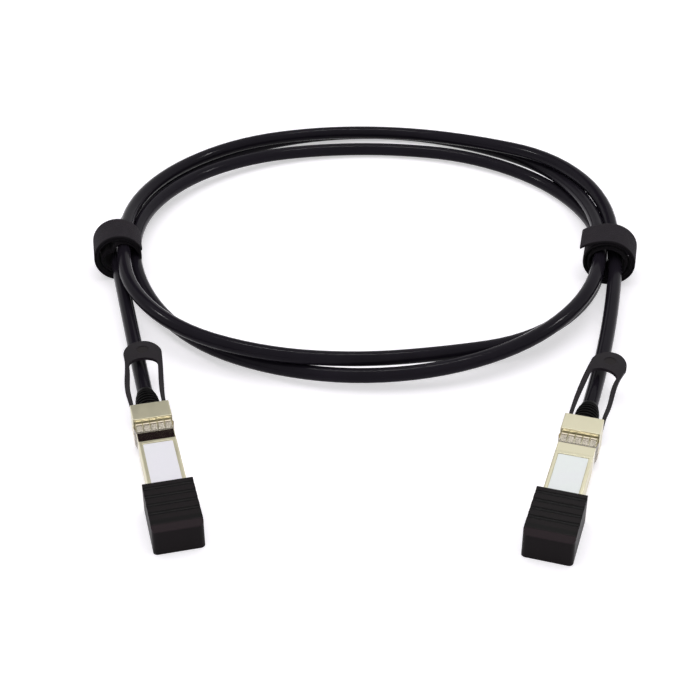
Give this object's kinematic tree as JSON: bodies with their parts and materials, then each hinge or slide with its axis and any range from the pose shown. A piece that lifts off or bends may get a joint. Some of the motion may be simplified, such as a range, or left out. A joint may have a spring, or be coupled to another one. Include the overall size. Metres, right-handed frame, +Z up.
{
  "type": "direct attach copper cable",
  "caption": "Passive twinax network cable, coiled and tied with hook-and-loop straps, with metal-cased pluggable plugs that have latches, pull tabs and dust caps.",
  "frame": {"origin": "on the surface that the cable lies on, midway between the two plugs", "axes": "+X from the left plug to the right one, +Y from the plugs to the hoop of cable, +Z up"},
  "size_m": [0.2314, 0.3134, 0.021],
  "materials": {
    "nickel": "polished nickel plate over die-cast zinc",
    "collar_metal": "gold-toned spring strip",
    "latch_metal": "stamped and satin",
    "screw_metal": "machined",
    "card": "green solder mask",
    "contact_gold": "gold-plated",
    "chip": "moulded epoxy",
    "pair_foil": "foil screen",
    "mould": "soft moulding compound",
    "ferrule": "turned and crimped",
    "boot": "matt moulded",
    "tab": "fine matt moulding",
    "label": "plain white film",
    "cap": "soft moulded",
    "jacket": "glossy extruded sleeve",
    "tape": "hook-and-loop pile"
  },
  "bodies": {
    "cable": {"cable_coil": "jacket", "cable_lead_left": "jacket", "cable_lead_right": "jacket", "strap_left": "tape", "strap_right": "tape", "lower_shell_left": "nickel", "upper_shell_left": "nickel", "emi_collar_left": "collar_metal", "label_left": "label", "shell_screws_left": "screw_metal", "paddle_card_left": "card", "contact_pads_left": "contact_gold", "memory_chip_left": "chip", "wire_pairs_left": "pair_foil", "inner_mould_left": "mould", "crimp_ferrule_left": "ferrule", "strain_relief_left": "boot", "latch_pin_left": "latch_metal", "latch_spring_left": "latch_metal", "lower_shell_right": "nickel", "upper_shell_right": "nickel", "emi_collar_right": "collar_metal", "label_right": "label", "shell_screws_right": "screw_metal", "paddle_card_right": "card", "contact_pads_right": "contact_gold", "memory_chip_right": "chip", "wire_pairs_right": "pair_foil", "inner_mould_right": "mould", "crimp_ferrule_right": "ferrule", "strain_relief_right": "boot", "latch_pin_right": "latch_metal", "latch_spring_right": "latch_metal"},
    "pull_tab_body_left": {"pull_tab_left": "tab"},
    "latch_body_left": {"latch_lever_left": "latch_metal"},
    "dust_cap_body_left": {"dust_cap_left": "cap"},
    "pull_tab_body_right": {"pull_tab_right": "tab"},
    "latch_body_right": {"latch_lever_right": "latch_metal"},
    "dust_cap_body_right": {"dust_cap_right": "cap"}
  },
  "joints": [
    {"name": "pull_tab_slide_left", "type": "slide", "parent": "cable", "child": "pull_tab_body_left", "axis": [-0.2419, 0.9703, 0], "range_m": [0, 0.002], "stiffness_N_per_m": 2000},
    {"name": "latch_hinge_left", "type": "hinge", "parent": "cable", "child": "latch_body_left", "pos_m": [-0.08009, 0.01186, 0.0015], "axis": [-0.9703, -0.2419, 0], "range_deg": [0, 4.6], "deforming": ["latch_spring_left"]},
    {"name": "dust_cap_slide_left", "type": "slide", "parent": "cable", "child": "dust_cap_body_left", "axis": [0.2419, -0.9703, 0], "range_m": [0, 0.02]},
    {"name": "pull_tab_slide_right", "type": "slide", "parent": "cable", "child": "pull_tab_body_right", "axis": [0.2957, 0.9553, 0], "range_m": [0, 0.002], "stiffness_N_per_m": 2000},
    {"name": "latch_hinge_right", "type": "hinge", "parent": "cable", "child": "latch_body_right", "pos_m": [0.07355, 0.00385, 0.0015], "axis": [-0.9553, 0.2957, 0], "range_deg": [0, 4.6], "deforming": ["latch_spring_right"]},
    {"name": "dust_cap_slide_right", "type": "slide", "parent": "cable", "child": "dust_cap_body_right", "axis": [-0.2957, -0.9553, 0], "range_m": [0, 0.02]}
  ],
  "couplings": [
    {"joint": "latch_hinge_left", "follows": "pull_tab_slide_left", "rad_per_m": 39.968},
    {"joint": "latch_hinge_right", "follows": "pull_tab_slide_right", "rad_per_m": 39.968}
  ]
}
